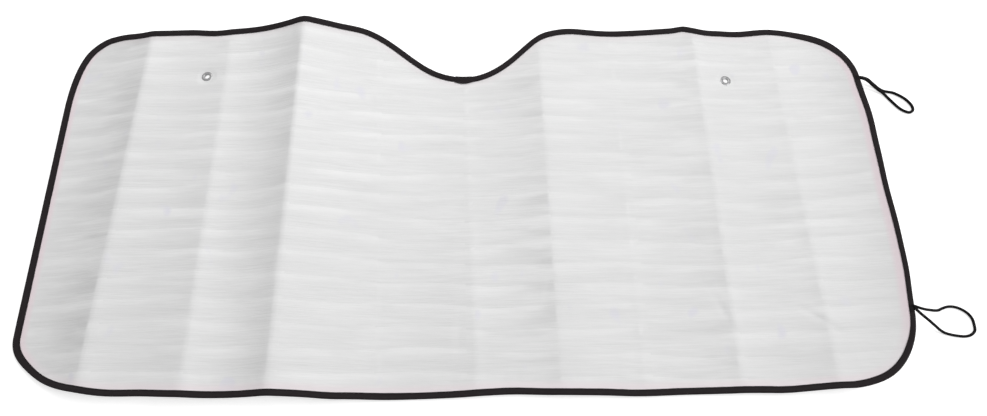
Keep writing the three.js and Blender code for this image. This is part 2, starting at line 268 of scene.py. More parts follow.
def tubeFaces(rings, sides):  # rings of points joined, with both ends closed
    faces = []
    for ring in range(rings - 1):
        for side in range(sides):
            a, b = ring * sides + side, ring * sides + (side + 1) % sides
            faces.append((a, b, b + sides, a + sides))
    faces.append(tuple(range(sides))[::-1])
    faces.append(tuple(range((rings - 1) * sides, rings * sides)))
    return faces


def tucked(end, before):  # the end of a route, carried on in under the tape
    ahead = np.array(end) - before
    return tuple(end + ahead / np.linalg.norm(ahead) * cord["tuck"])


def makeCord(name, route, diameter, material):
    ends = tucked(route[0], route[1]), tucked(route[-1], route[-2])
    path, run = smoothPath([ends[0], *route[1:-1], ends[1]], cord["step"])
    tangent = np.gradient(path, axis=0)
    tangent /= np.linalg.norm(tangent, axis=1)[:, None]
    side = np.cross(tangent[0], (0, 0, 1))
    sides = []
    for direction in tangent:  # carries the side vector along without twist
        side = side - direction * np.dot(side, direction)
        side = side / np.linalg.norm(side)
        sides.append(side)
    sides = np.array(sides)
    across = np.cross(tangent, sides)
    angle = np.arange(cord["sides"]) / cord["sides"] * 2 * math.pi
    turn = run[:, None] / cord["lay"] * 2 * math.pi
    left = np.cos(cord["carriers"] * (angle + turn))  # two sets of carriers cross in the braid
    right = np.cos(cord["carriers"] * (angle - turn) + math.pi)
    radius = diameter / 2 + cord["relief"] * (np.maximum(left, right) - 1)
    ring = np.cos(angle)[:, None] * sides[:, None] + np.sin(angle)[:, None] * across[:, None]
    points = path[:, None] + ring * radius[:, :, None]
    faces = tubeFaces(len(path), cord["sides"])
    piece = newPiece(name, points.reshape(-1, 3), faces, material, turnSmooth=75)
    uv = np.stack(np.broadcast_arrays(run[:, None] * mm, angle / (2 * math.pi)), axis=-1)
    addUv(piece, uv.reshape(-1, 2))
    return piece, path, run[-1]


def elasticMaterial():
    material, graph = newMaterial("braidedElastic")
    place = graph.add("ShaderNodeUVMap", {"uv_map": "along"})
    turn = graph.part(place, "X") * (2 * math.pi / (cord["lay"] * mm))
    around = graph.part(place, "Y") * (2 * math.pi)
    phase = (around + turn) * cord["carriers"]
    wave = graph.apply("COSINE", phase)
    fuzz = graph.noise(place, (2500, 40, 1), detail=3)
    bright = graph.limit(wave * 0.2 + fuzz * 0.9)
    colour = graph.mix(bright, cord["dark"], cord["light"])
    bump = graph.bump(fuzz, 0.4, 0.0002)
    rough = 0.68 + fuzz * 0.2
    finishMaterial(graph, {
        "Base Color": colour, "Roughness": rough, "Normal": bump, "Specular IOR Level": 0.1,
    })
    return material


elastic = elasticMaterial()
for side, points in (("upper", upperRoute), ("lower", lowerRoute)):
    name, node, sizes = "closingLoop" + side.capitalize(), "elastic_loop_" + side, cord[side]
    route = [(x, y, z + sizes["raise"]) for x, y, z in points]
    piece, path, length = makeCord(name, route, sizes["diameter"], elastic)
    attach(piece, "root")
    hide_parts(node)
    [v * mm for v in route[0]]
    sizes["diameter"] * mm
    print(name, "length", round(length, 1), "mm")


# Form of the shade as it lies, the same as in the part's source
shade = {
    "pitch": 130,
    "height": 613,
    "topLeft": (59, 137),
    "topRight": (116, 102),
    "bottomLeft": (230, 94),
    "bottomRight": (105, 104),
    "taper": (382, 17),
    "notchHalfWidth": 192,
    "notchDepth": 86,
    "notchShoulderReach": 89,
    "notchFloorReach": 84,
    "thickness": 3.0,
    "wrap": 1.65,  # from the tape's outside to the sheet's edge
    "restLevel": 1.35,
    "foldRounding": 4.5,
    "edgeRounding": 7.5,  # added where the folds run out at the top and the bottom edge
    "edgeReach": 60,
    "outset": {"left": 1.0, "right": 0.0, "top": 0.4, "bottom": 1.0},  # of the tape outside the seam
    "curl": (1.0, 2.6),  # how far the seam pulls the edge up: everywhere, and more at top and bottom
    "curlReach": 24,
    "fullness": (0.65, 0.62),  # of the upper and the lower left corner
    "ridgeReach": 14,
    "curveSteps": 60,
    "cornerShare": 0.5523,  # handle of a curve that draws a quarter circle
    "wanderStart": (150, 270),  # from the middle line to the long edges
    "rightStart": (560, 620),
    "rightWander": ((132, 3.0, 42), (0, -2.4, 50), (-135, 1.1, 30)),  # y, distance outwards, reach
    "nudges": ((-617, -250, 2.9, 2.8, 32), (-616, 300, 1.1, -1.8, 24)),  # x, y, move in x and y, reach
}
# Folds that stand up as low ridges: line, height in mm at the top and the bottom edge
ridges = {5: (0.2, 0.8), 7: (0.2, 0.8), 8: (0.6, 1.4), 9: (0.5, 1.1)}
# Where the sewn edge wanders at the top (1) and the bottom (-1): x, distance outwards, reach
wander = {
    1: [
        (-610, -1.0, 22), (-566, 2.0, 28), (-521, -3.6, 36), (-445, 0.8, 18), (-402, -3.0, 34),
        (-290, 2.1, 50), (-188, -1.8, 26), (-75, 1.4, 36), (15, -1.8, 30), (120, 2.8, 32),
        (239, -2.6, 40), (348, 2.6, 40), (373, 3.8, 14), (415, -1.6, 18), (457, -1.9, 28),
        (511, 2.0, 24), (565, -1.9, 26), (622, 2.0, 24),
    ],
    -1: [
        (-447, -3.2, 42), (-190, 1.4, 26), (-115, 1.6, 70), (62, -3.2, 48), (239, 1.8, 40),
        (438, 1.1, 22), (505, -1.6, 30), (553, -2.2, 26),
    ],
}
# Lines from left to right in hundredths of the pitch: drift at the top and the bottom edge,
# height at the top and the bottom edge, sag of the pleat that follows
lines = [
    (0, 0, 0, 0, 4.5),
    (4, -14, 22.5, 18, 3.5),
    (6, -2, 22, 22, 7.5),
    (1.5, -11, 45, 25.5, 1.5),
    (-8, 6, 16.5, 1.5, 2.5),
    (3, 11, 1.5, 3.5, 2.5),
    (-1.5, 1.5, 15, 6, 0),
    (-9, -8, 6, 1, 2),
    (0, -6, 7, 3.5, 3),
    (0, -6, 0.5, 13.5, 2),
    (0, 0, 4.5, 27, 0),
]
halfWidth = (len(lines) - 1) * shade["pitch"] / 2
topY = shade["height"] / 2


def foldLines(y):  # place, height and sag after it, for each line
    share = (np.asarray(y, float) + topY) / shade["height"]
    unit = shade["pitch"] / 100
    placed = []
    for index, (topDrift, bottomDrift, topHeight, bottomHeight, sag) in enumerate(lines):
        x = index * shade["pitch"] - halfWidth + unit * (bottomDrift + (topDrift - bottomDrift) * share)
        placed.append((x, unit * (bottomHeight + (topHeight - bottomHeight) * share), unit * sag))
    return placed


def sharpUnderside(x, y):  # pleats that sag from line to line
    placed = foldLines(y)
    z = np.zeros_like(x)
    for (fromX, fromZ, sag), (toX, toZ, _) in zip(placed[:-1], placed[1:]):
        share = (x - fromX) / (toX - fromX)
        height = fromZ + (toZ - fromZ) * share - 4 * sag * share * (1 - share)
        z = np.where((share >= 0) & (share <= 1), np.maximum(0, height), z)
    leftZ, rightZ = placed[0][1], placed[-1][1]
    z = np.where(x > placed[-1][0], rightZ, np.where(x < placed[0][0], leftZ, z))
    for index, (above, below) in ridges.items():
        near = np.clip(1 - np.abs(x - placed[index][0]) / shade["ridgeReach"], 0, 1)
        z = z + (below + (above - below) * (y / shade["height"] + 0.5)) * near**2
    return z + shade["restLevel"]


def underside(x, y):  # the folds are rounded a little
    x, y = np.asarray(x, float), np.asarray(y, float)
    atEdge = smoothStep(topY - shade["edgeReach"], topY, np.abs(y))
    reach = shade["foldRounding"] + shade["edgeRounding"] * atEdge
    weights = ((-1.0, 0.08), (-0.5, 0.24), (0, 0.36), (0.5, 0.24), (1.0, 0.08))
    return sum(weight * sharpUnderside(x + step * reach, y) for step, weight in weights)


def curl(distance, inwards):  # from the edge inwards
    height = shade["curl"][0] + shade["curl"][1] * inwards[:, 1] ** 2
    return height * np.clip(1 - np.asarray(distance) / shade["curlReach"], 0, 1) ** 2


def bezier(a, b, c, d):
    t = np.linspace(0, 1, shade["curveSteps"], endpoint=False)[:, None]
    a, b, c, d = (np.array(p, float) for p in (a, b, c, d))
    return (1 - t) ** 3 * a + 3 * (1 - t) ** 2 * t * b + 3 * (1 - t) * t * t * c + t**3 * d


def straight(a, b):
    t = np.linspace(0, 1, shade["curveSteps"], endpoint=False)[:, None]
    return np.array(a, float) + (np.array(b, float) - a) * t


def corner(start, turn, end, fullness):  # rounded, with handles that point at the turn
    start, turn, end = (np.array(p, float) for p in (start, turn, end))
    return bezier(start, start + (turn - start) * fullness, end + (turn - end) * fullness, end)


def drawOutline(spacing):  # counter-clockwise from the floor of the notch, evenly spaced
    left, right, top, bottom = -halfWidth, halfWidth, topY, -topY
    topLeftX, topLeftY = left + shade["topLeft"][0], top - shade["topLeft"][1]
    topRightX, topRightY = right - shade["topRight"][0], top - shade["topRight"][1]
    lowLeftX, lowLeftY = left + shade["bottomLeft"][0], bottom + shade["bottomLeft"][1]
    upperFullness, lowerFullness = shade["fullness"]
    rounding = shade["cornerShare"]
    footReach, footRise = shade["bottomRight"]
    rise, inset = shade["taper"]
    footX, footY, taperY = right - inset, bottom + footRise, bottom + rise
    lean = 2 * inset / (taperY - footY)
    floorY = top - shade["notchDepth"]
    half = shade["notchHalfWidth"]
    inner = half - shade["notchShoulderReach"]
    floorReach = shade["notchFloorReach"]
    taperHandle = np.array((right, (taperY + footY) / 2))
    taperEnds = np.array([(footX, footY), (right, taperY)])
    thirds = [tuple(end + (taperHandle - end) * 2 / 3) for end in taperEnds]
    runs = [
        bezier((0, floorY), (-floorReach, floorY), (-inner, top), (-half, top)),
        straight((-half, top), (topLeftX, top)),
        corner((topLeftX, top), (left, top), (left, topLeftY), upperFullness),
        straight((left, topLeftY), (left, lowLeftY)),
        corner((left, lowLeftY), (left, bottom), (lowLeftX, bottom), lowerFullness),
        straight((lowLeftX, bottom), (footX - footReach, bottom)),
        bezier(
            (footX - footReach, bottom), (footX - footReach * (1 - rounding), bottom),
            (footX - lean * rounding * footRise, bottom + footRise * (1 - rounding)), (footX, footY),
        ),
        bezier((footX, footY), *thirds, (right, taperY)),
        straight((right, taperY), (right, topRightY)),
        corner((right, topRightY), (right, top), (topRightX, top), rounding),
        straight((topRightX, top), (half, top)),
        bezier((half, top), (inner, top), (floorReach, floorY), (0, floorY)),
    ]
    dense = np.vstack([*runs, [(0, floorY)]])
    for side, places in wander.items():
        share = smoothStep(*shade["wanderStart"], side * dense[:, 1]) * side
        for x, distance, reach in places:
            dense[:, 1] += share * distance * np.exp(-(((dense[:, 0] - x) / reach) ** 2))
    share = smoothStep(*shade["rightStart"], dense[:, 0])
    for y, distance, reach in shade["rightWander"]:
        dense[:, 0] += share * distance * np.exp(-(((dense[:, 1] - y) / reach) ** 2))
    for x, y, moveX, moveY, reach in shade["nudges"]:
        near = np.exp(-(((dense - (x, y)) / reach) ** 2).sum(axis=1))
        dense = dense + near[:, None] * (moveX, moveY)
    run = np.concatenate([[0], np.cumsum(np.linalg.norm(np.diff(dense, axis=0), axis=1))])
    count = int(run[-1] / spacing)
    places = np.arange(count) * run[-1] / count
    points = np.column_stack([np.interp(places, run, dense[:, k]) for k in range(2)])
    ahead = np.roll(points, -1, axis=0) - np.roll(points, 1, axis=0)
    ahead /= np.linalg.norm(ahead, axis=1)[:, None]
    inwards = np.column_stack([-ahead[:, 1], ahead[:, 0]])
    outset = shade["outset"]
    across = np.where(inwards[:, 0] > 0, outset["left"], outset["right"]) * inwards[:, 0] ** 2
    upright = np.where(inwards[:, 1] > 0, outset["bottom"], outset["top"]) * inwards[:, 1] ** 2
    return points - inwards * (across + upright)[:, None], inwards, places, run[-1]


edge, edgeInwards, edgeRun, edgeLength = drawOutline(3.0)
print("outline", len(edge), "points,", round(edgeLength), "mm round")


# Sheet: white film over thin foam, pressed at the eyelets and drawn in along the seam
sheet = {
    "columns": 26,  # in each pleat
    "rowStep": 4.4,
    "borderGap": 2.6,  # inner points keep this far from the edge
    "eyelets": ((-416.0, 215.5), (433.0, 207.5)),
    "eyeletHole": 4.75,
    "holeRings": (5.9, 7.2, 8.6, 10.2, 12.0, 14.2, 16.6, 19.0),  # radii of rings of points round a hole
    "holeSides": 48,
    "holeClear": 20.5,  # other points keep this far from its middle
    "seatRadius": 8.9,
    "seatSpread": 9.0,
    "slopeReach": 8.0,
    "squeeze": 0.9,  # on each side
    "smoothEnd": 12.5,  # from the outside to where the sheet comes out from under the tape
    "ribPitch": 35,
    "ribRise": 0.55,
    "ribWander": 0.35,
    "ribStart": 26,  # ribs are full this far from the outside
    "ribClear": (10, 24),  # and fade in round each eyelet
    "ribSeed": 4,
    "puckerRise": 0.32,
    "pucker": (9, 60),  # size along the seam and across it
    "puckerBand": (17, 18, 52),  # full from the first to the second, gone at the third
    "wrinkleRise": 0.3,
    "wrinkleStart": 30,
    "broad": (90, 38),  # size of the wrinkles in x and y
    "fine": (34, 14),
    "deepest": -0.9,
    "seed": 11.3,
    "dentWidth": 4.5,
    "dentLip": (0.45, 8, 7),  # share of the depth, distance and width of the rise beside a dent
    "foldShade": (1.0, 0.5, 0.5, 0.3, 0.4, 0.85, 0.35, 0.75, 0.5, 0.4),  # painted shade: a darker band before each fold
    "foldShadeBase": 0.4,  # share of it that covers the whole pleat
    "foldShadeBand": (0.35, 0.95),  # where in the pleat the rest sets in
}
# Small dents where the sheet has been folded: x, y, length, turn in degrees, depth
dents = [
    (505, -205, 46, -38, 1.1),
    (372, -190, 60, -68, 0.8),
    (-268, -120, 40, 80, 0.8),
    (-12, -215, 60, 88, 0.6),
    (-120, -240, 34, 10, 0.6),
    (120, -150, 40, 75, 0.6),
]


def crossings(y, points):  # where a row meets the closed line of points
    following = np.roll(points, -1, axis=0)
    spans = (points[:, 1] > y) != (following[:, 1] > y)
    a, b = points[spans], following[spans]
    return np.sort(a[:, 0] + (y - a[:, 1]) / (b[:, 1] - a[:, 1]) * (b[:, 0] - a[:, 0]))


def sheetPlan():  # points and triangles of the sheet seen from above
    border = edge + edgeInwards * shade["wrap"]
    finder = kdtree.KDTree(len(border))
    for index, point in enumerate(border):
        finder.insert((*point, 0), index)
    finder.balance()
    eyelets = np.array(sheet["eyelets"])
    inner = []
    rowCount = int(shade["height"] / sheet["rowStep"])
    for row in range(1, rowCount):
        y = -topY + row * shade["height"] / rowCount
        lineX = [float(x) for x, _, _ in foldLines(y)]
        share = np.arange(sheet["columns"]) / sheet["columns"]
        x = np.concatenate([a + (b - a) * share for a, b in zip(lineX[:-1], lineX[1:])])
        ends = crossings(y, border)
        keep = np.zeros(len(x), bool)
        for low, high in zip(ends[::2], ends[1::2]):
            keep |= (x > low) & (x < high)
        for point in np.column_stack([x[keep], np.full(keep.sum(), y)]):
            clear = finder.find((*point, 0))[2] > sheet["borderGap"]
            if clear and np.linalg.norm(eyelets - point, axis=1).min() > sheet["holeClear"]:
                inner.append(point)
    angle = np.arange(sheet["holeSides"]) / sheet["holeSides"] * 2 * math.pi
    circle = np.column_stack([np.cos(angle), np.sin(angle)])
    radii = (sheet["eyeletHole"], *sheet["holeRings"])
    rings = [centre + radius * circle for centre in eyelets for radius in radii]
    points = np.vstack([border, *rings, inner])
    loop = [list(range(len(border)))]
    found = delaunay_2d_cdt([Vector(p) for p in points], [], loop, 1, 1e-6)
    plan = np.array([tuple(p) for p in found[0]])
    faces = np.array(list(found[2]))
    middle = plan[faces].mean(axis=1)
    keep = np.ones(len(faces), bool)
    for centre in eyelets:
        keep &= np.linalg.norm(middle - centre, axis=1) > sheet["eyeletHole"] * 0.99
    faces = faces[keep]
    a, b, c = (plan[faces[:, k]] for k in range(3))
    turned = (b - a)[:, 0] * (c - a)[:, 1] - (b - a)[:, 1] * (c - a)[:, 0] < 0
    faces[turned] = faces[turned][:, ::-1]
    used = np.unique(faces)
    number = np.full(len(plan), -1)
    number[used] = np.arange(len(used))
    near = [finder.find((*point, 0)) for point in plan[used]]
    distance = np.array([hit[2] for hit in near])
    nearest = np.array([hit[1] for hit in near])
    return plan[used], number[faces], distance + shade["wrap"], nearest


def wrinkles(plan, distance, run):
    seed = sheet["seed"]
    broad = uneven(plan, sheet["broad"], seed)
    fine = uneven(plan, sheet["fine"], seed + 7)
    pucker = uneven(zip(run, distance), sheet["pucker"], seed + 3)
    full, fadeStart, fadeEnd = sheet["puckerBand"]
    seam = smoothStep(sheet["smoothEnd"], full, distance) * (1 - smoothStep(fadeStart, fadeEnd, distance))
    away = smoothStep(sheet["smoothEnd"], sheet["wrinkleStart"], distance)
    z = sheet["wrinkleRise"] * (broad + 0.35 * fine) * away + sheet["puckerRise"] * pucker * seam
    lipShare, lipPlace, lipWidth = sheet["dentLip"]
    for x, y, length, turn, depth in dents:
        along = math.radians(turn)
        offset = plan - (x, y)
        u = offset @ (math.cos(along), math.sin(along))
        v = offset @ (-math.sin(along), math.cos(along))
        bend = v + 0.0004 * u * u  # a dent is a little curved
        fade = np.exp(-((u / (length * 0.5)) ** 2)) * away
        lip = lipShare * np.exp(-(((bend - lipPlace) / lipWidth) ** 2))
        z -= depth * fade * (np.exp(-((bend / sheet["dentWidth"]) ** 2)) - lip)
    return z


def foldShade(plan):  # painted shade that grows over each pleat up to its next fold
    values = np.zeros(len(plan))
    base = sheet["foldShadeBase"]
    placed = foldLines(plan[:, 1])
    for strength, (fromX, _, _), (toX, _, _) in zip(sheet["foldShade"], placed[:-1], placed[1:]):
        share = (plan[:, 0] - fromX) / (toX - fromX)
        inside = (share >= 0) & (share < 0.999)  # the fold itself stays bright
        growth = base + (1 - base) * smoothStep(*sheet["foldShadeBand"], share)
        values = np.where(inside, strength * growth, values)
    return values


def heightAt(x, y):  # of the underside before its folds are rounded
    return float(sharpUnderside(np.array([x]), y)[0])


def seatPlane(centre):  # height of the sheet's middle at an eyelet, and its slopes
    x, y = centre
    reach = sheet["slopeReach"]
    slopeX = heightAt(x + reach, y) - heightAt(x - reach, y)
    slopeY = heightAt(x, y + reach) - heightAt(x, y - reach)
    return heightAt(x, y) + shade["thickness"] / 2, slopeX / (2 * reach), slopeY / (2 * reach)


def makeSheet(material):
    plan, faces, distance, nearest = sheetPlan()
    low = underside(plan[:, 0], plan[:, 1]) + curl(distance, edgeInwards[nearest])
    low = low + np.maximum(wrinkles(plan, distance, edgeRun[nearest]), sheet["deepest"])
    half = np.full(len(plan), shade["thickness"] / 2)
    middle = low + half
    for centre in sheet["eyelets"]:
        reach = np.linalg.norm(plan - centre, axis=1)
        pressed = 1 - smoothStep(sheet["seatRadius"], sheet["seatRadius"] + sheet["seatSpread"], reach)
        flat, slopeX, slopeY = seatPlane(centre)
        seat = flat + slopeX * (plan[:, 0] - centre[0]) + slopeY * (plan[:, 1] - centre[1])
        middle = middle + (seat - middle) * pressed
        half = half - sheet["squeeze"] * pressed
    low, high = middle - half, middle + half
    count = len(plan)
    points = np.vstack([np.column_stack([plan, high]), np.column_stack([plan, low])])
    pairs = {pair for a, b, c in faces.tolist() for pair in ((a, b), (b, c), (c, a))}
    rim = [(b, a, a + count, b + count) for a, b in sorted(pairs) if (b, a) not in pairs]
    allFaces = faces.tolist() + (faces[:, ::-1] + count).tolist() + rim
    piece = newPiece("foamSheet", points, allFaces, material, turnSmooth=50)
    ripple = smoothStep(sheet["smoothEnd"], sheet["ribStart"], distance)
    for centre in sheet["eyelets"]:
        ripple = ripple * smoothStep(*sheet["ribClear"], np.linalg.norm(plan - centre, axis=1))
    spread = {"seamDistance": distance, "rippleShare": ripple, "foldShade": foldShade(plan)}
    for name, values in spread.items():
        layer = piece.data.attributes.new(name, "FLOAT", "POINT")
        layer.data.foreach_set("value", np.tile(values, 2).astype(np.float32))
    return piece


def geometryTree(name, sizes):
    tree = bpy.data.node_groups.new(name, "GeometryNodeTree")
    graph = Graph(tree)
    tree.interface.new_socket("Geometry", in_out="INPUT", socket_type="NodeSocketGeometry")
    for label, kind, _ in sizes:
        tree.interface.new_socket(label, in_out="INPUT", socket_type=kind)
    tree.interface.new_socket("Geometry", in_out="OUTPUT", socket_type="NodeSocketGeometry")
    return tree, graph, graph.add("NodeGroupInput")


def closeTree(graph, shape, material):
    real = graph.add("GeometryNodeRealizeInstances", {}, {0: shape})
    coated = graph.add("GeometryNodeSetMaterial", {}, {0: real, "Material": material})
    graph.add("NodeGroupOutput", {}, {0: coated})


def applyTree(piece, tree, sizes, name):
    modifier = piece.modifiers.new(tree.name, "NODES")
    modifier.node_group = tree
    sockets = {s.name: s.identifier for s in tree.interface.items_tree if s.in_out == "INPUT"}
    for label, _, value in sizes:
        modifier[sockets[label]] = value
    evaluated = piece.evaluated_get(bpy.context.evaluated_depsgraph_get())
    mesh = bpy.data.meshes.new_from_object(evaluated)
    mesh.name = name
    piece.modifiers.remove(modifier)
    bpy.data.objects.remove(piece)
    made = bpy.data.objects.new(name, mesh)
    bpy.context.scene.collection.objects.link(made)
    return made


def addRipples(piece, material):
    sizes = [
        ("Pitch", "NodeSocketFloat", sheet["ribPitch"] * mm),
        ("Rise", "NodeSocketFloat", sheet["ribRise"] * mm),
        ("Wander", "NodeSocketFloat", sheet["ribWander"]),
        ("Seed", "NodeSocketFloat", float(sheet["ribSeed"])),
    ]
    tree, graph, given = geometryTree("crossRipples", sizes)
    place = graph.add("GeometryNodeInputPosition")
    wander = graph.add(
        "ShaderNodeTexNoise", {"noise_dimensions": "4D"},
        {"Vector": place, "W": graph.other(given, "Seed"), "Scale": 3.2, "Detail": 2.0},
    )
    turns = graph.part(place, "Y") / graph.other(given, "Pitch")
    phase = (turns + (wander - 0.5) * graph.other(given, "Wander") * 2) * (2 * math.pi)
    wave = graph.apply("COSINE", phase)
    fade = graph.add("GeometryNodeInputNamedAttribute", {"data_type": "FLOAT"}, {0: "rippleShare"})
    strength = graph.add(
        "ShaderNodeTexNoise", {"noise_dimensions": "4D"},
        {"Vector": place, "W": graph.other(given, "Seed") + 9, "Scale": 7.0, "Detail": 1.0},
    )
    lift = wave * graph.other(given, "Rise") * 0.5 * fade * (strength * 1.8)
    offset = graph.add("ShaderNodeCombineXYZ", {}, {2: lift})
    shape = graph.add("GeometryNodeSetPosition", {}, {0: given, "Offset": offset})
    closeTree(graph, shape, material)
    return applyTree(piece, tree, sizes, "foamSheet")


# Greys and tints of the film, with a painted highlight on the ribs and painted shade before the folds and
# at the right edge
filmLook = {
    "dull": 0.75,  # streaks run between this and the next
    "bright": 0.848,
    # painted highlight along the crests of the ribs
    "rib": 0.895,
    "shadeBand": 0.695,  # grey of the painted shade before a fold
    "worn": 0.7,
    "cloud": 0.757,
    "cool": (0.775, 0.768, 0.832, 1),
    "blush": (0.83, 0.722, 0.755, 1),  # beside the tape
    "rightEdgeShade": 0.91,  # painted shade: how much darker the right edge is painted
}


def filmMaterial():
    material, graph = newMaterial("whiteFilm")
    place = graph.objectPlace()
    seam = graph.attribute("seamDistance")
    x, y = graph.part(place, "X"), graph.part(place, "Y")
    streak = graph.noise(place, (13, 210, 30), detail=3, roughness=0.6)
    thread = graph.noise(place, (34, 900, 60), detail=2, roughness=0.55)
    patch = graph.noise(place, (6, 5, 5), detail=2)
    tint = graph.noise(place, (26, 20, 16), detail=1)
    scuff = graph.noise(place, (70, 55, 40), detail=5, roughness=0.7, turn=(0, 0, 0.5))
    drift = graph.noise(place, (3.4, 5, 2), detail=1)
    pleat = graph.apply("FLOOR", x / (shade["pitch"] * mm))
    turns = y / (sheet["ribPitch"] * mm) + (drift - 0.5) * 1.3 + pleat * 0.07
    phase = graph.apply("FRACT", turns)
    strength = graph.ramp(graph.noise(place, (10, 24, 6), detail=2), [(0.3, 0.15), (0.58, 1.0)])
    side = graph.ramp(x + halfWidth * mm, [(0.3, 0.8), (0.45, 1.0), (0.7, 1.0), (0.85, 0.74)])
    rise = graph.ramp(phase, [(0.0, 0.3), (0.1, 0.0), (0.4, 0.12), (0.7, 0.55), (0.86, 0.9), (0.94, 0.8)])
    # painted highlight: the ribs' crests are painted lighter, in step with the ripples in the sheet
    rib = rise * strength * side
    # painted shade: darker bands before each fold, on the side turned from the light
    before = graph.attribute("foldShade")
    shadeBand = graph.ramp(graph.noise(place, (6, 40, 4), detail=3, roughness=0.6), [(0.44, 0.0), (0.62, 1.0)])
    streaks = graph.ramp(streak, [(0.22, 0.0), (0.5, 0.5), (0.78, 1.0)])
    base = graph.mix(streaks, grey(filmLook["dull"]), grey(filmLook["bright"]))
    ribHighlighted = graph.mix(rib, base, grey(filmLook["rib"]))
    cool = graph.mix(graph.ramp(tint, [(0.69, 0.0), (0.77, 0.8)]), ribHighlighted, filmLook["cool"])
    foldShadePainted = graph.mix(shadeBand * before, cool, grey(filmLook["shadeBand"]))
    worn = graph.mix(graph.ramp(scuff, [(0.66, 0.0), (0.85, 0.35)]), foldShadePainted, grey(filmLook["worn"]))
    cloudy = graph.mix(graph.ramp(patch, [(0.3, 0.4), (0.6, 0.0)]), worn, grey(filmLook["cloud"]))
    near = graph.ramp(seam * 0.01, [(0.1, 1.0), (0.155, 0.85), (0.22, 0.0)])
    sideways = graph.ramp(x * x, [(0.36, 0.0), (0.39, 0.75)])
    below = graph.ramp(0 - y, [(0.27, 0.25), (0.29, 0.55)])
    blush = near * graph.limit(sideways + below)
    colour = graph.mix(blush, cloudy, filmLook["blush"])
    # painted shade towards the right edge
    rightEdgeShade = graph.ramp(x, [(0.545, 0.0), (0.6, 0.4), (0.64, 1.0)])
    colour = graph.mix(rightEdgeShade, colour, grey(filmLook["rightEdgeShade"]), "MULTIPLY")
    height = streak * 0.55 + thread * 0.3 + scuff * 0.15 - rib * 0.2
    bump = graph.bump(height, 0.7, 0.0013)
    rough = graph.limit(0.5 + (streak - 0.5) * 0.3 + scuff * 0.12)
    finishMaterial(graph, {
        "Base Color": colour, "Metallic": 0.0, "Roughness": rough, "Normal": bump,
        "Specular IOR Level": 0.35,
    })
    return material


film = filmMaterial()
sheetPiece = addRipples(makeSheet(film), film)
sheetPiece.data.name = "foamSheet"
print("sheet", len(sheetPiece.data.polygons), "faces")


# Binding: a woven tape folded over the edge as a U, its end lapped over its beginning
binding = {
    "width": 10.0,
    "step": 2.6,
    "underStart": -10.5,  # distances along the edge from the middle of the notch floor
    "lapEnd": 12.0,
    "lapStep": (-16.4, -12.8),
    "lapLift": 0.87,
    "pressed": (11.5, 15),  # the beginning lies flatter up to here, beneath the lap
    "tail": 2.2,  # the lap's end is wider by this
    "tailStart": (-17, -4),
    "tailEnd": (1, 12),
    "puckerRise": 0.16,
    "slowRise": 0.1,
    "soft": (11, 7),  # size of the puckers along the tape and across it
    "slow": (60, 14),
    "edgeWaver": (0.28, 0.12),  # slow and soft
    "outside": 2.5,  # insets below this go round the sheet's edge
    "weavePitch": 1.1,
    "stitchInset": 8.1,
    "stitchLevel": 2.6,  # from the sheet's middle
    "stitchGap": (3, 1),  # from the lap's end to the first stitch and back to the last
    "stitchPitch": 3.1,
    "stitchLength": 2.5,
    "stitchWidth": 0.55,
    "seed": 5.7,
    "dark": (0.0068, 0.005, 0.0058, 1),
    "light": (0.021, 0.0165, 0.018, 1),
    "dusty": (0.032, 0.028, 0.03, 1),
}
# Section of the tape: inset from the outline and height above the sheet's middle. The outer side
# goes from the face round the edge to the back, and the inner side comes back against the sheet
outerSide = [
    (10.0, 1.95), (9.95, 2.4), (9.6, 2.6), (8.8, 2.66), (7.9, 2.52), (6.9, 2.66), (5.2, 2.74), (3.4, 2.7),
    (1.9, 2.5), (0.9, 2.05), (0.3, 1.3), (0.05, 0.45), (0.05, -0.45), (0.3, -1.3), (0.9, -2.0),
    (1.9, -2.42), (3.4, -2.56), (5.2, -2.6), (6.9, -2.58), (7.9, -2.5), (8.8, -2.58), (9.6, -2.55),
    (9.95, -2.35), (10.0, -1.95),
]
innerSide = [
    (8.0, -1.82), (4.0, -1.82), (2.0, -1.75), (1.1, -1.2), (0.85, 0.0), (1.1, 1.2), (2.0, 1.75),
    (4.0, 1.82), (8.0, 1.82),
]


def alongEdge(run):  # points of the outline, and which way is inwards there
    place = np.asarray(run, float) % edgeLength
    closedRun = np.append(edgeRun, edgeLength)
    found = []
    for values in (edge, edgeInwards):
        columns = [np.interp(place, closedRun, np.append(values[:, k], values[0, k])) for k in range(2)]
        found.append(np.column_stack(columns))
    return found


def middleHeight(points, distance, inwards):
    return underside(points[:, 0], points[:, 1]) + curl(distance, inwards) + shade["thickness"] / 2


def lapLift(run):
    return binding["lapLift"] * smoothStep(*binding["lapStep"], run - edgeLength)


# The tape is sewn a little to one side or the other as it goes round: how much more of it is on
# the face, then the places that it holds for, as axis, direction, where it sets in and is full
leftSide, rightSide = (0, -1, 560, 630), (0, 1, 560, 630)
topSide, lowHalf = (1, 1, 180, 280), (1, -1, -240, 160)
faceShares = [
    (0.05, [topSide]),
    (-0.03, [(1, -1, 180, 300)]),
    (0.14, [leftSide]),
    (0.1, [leftSide, topSide]),
    (-0.16, [leftSide, (1, -1, 235, 275)]),
    (-0.22, [rightSide, lowHalf]),
    (0.121, [rightSide, lowHalf, (1, -1, 215, 260)]),
    (0.2, [(0, 1, 545, 600), (1, 1, 245, 280)]),
]


def faceShare(point):
    total = np.ones(len(point))
    for share, places in faceShares:
        for axis, way, low, high in places:
            share = share * smoothStep(low, high, way * point[:, axis])
        total = total + share
    return total


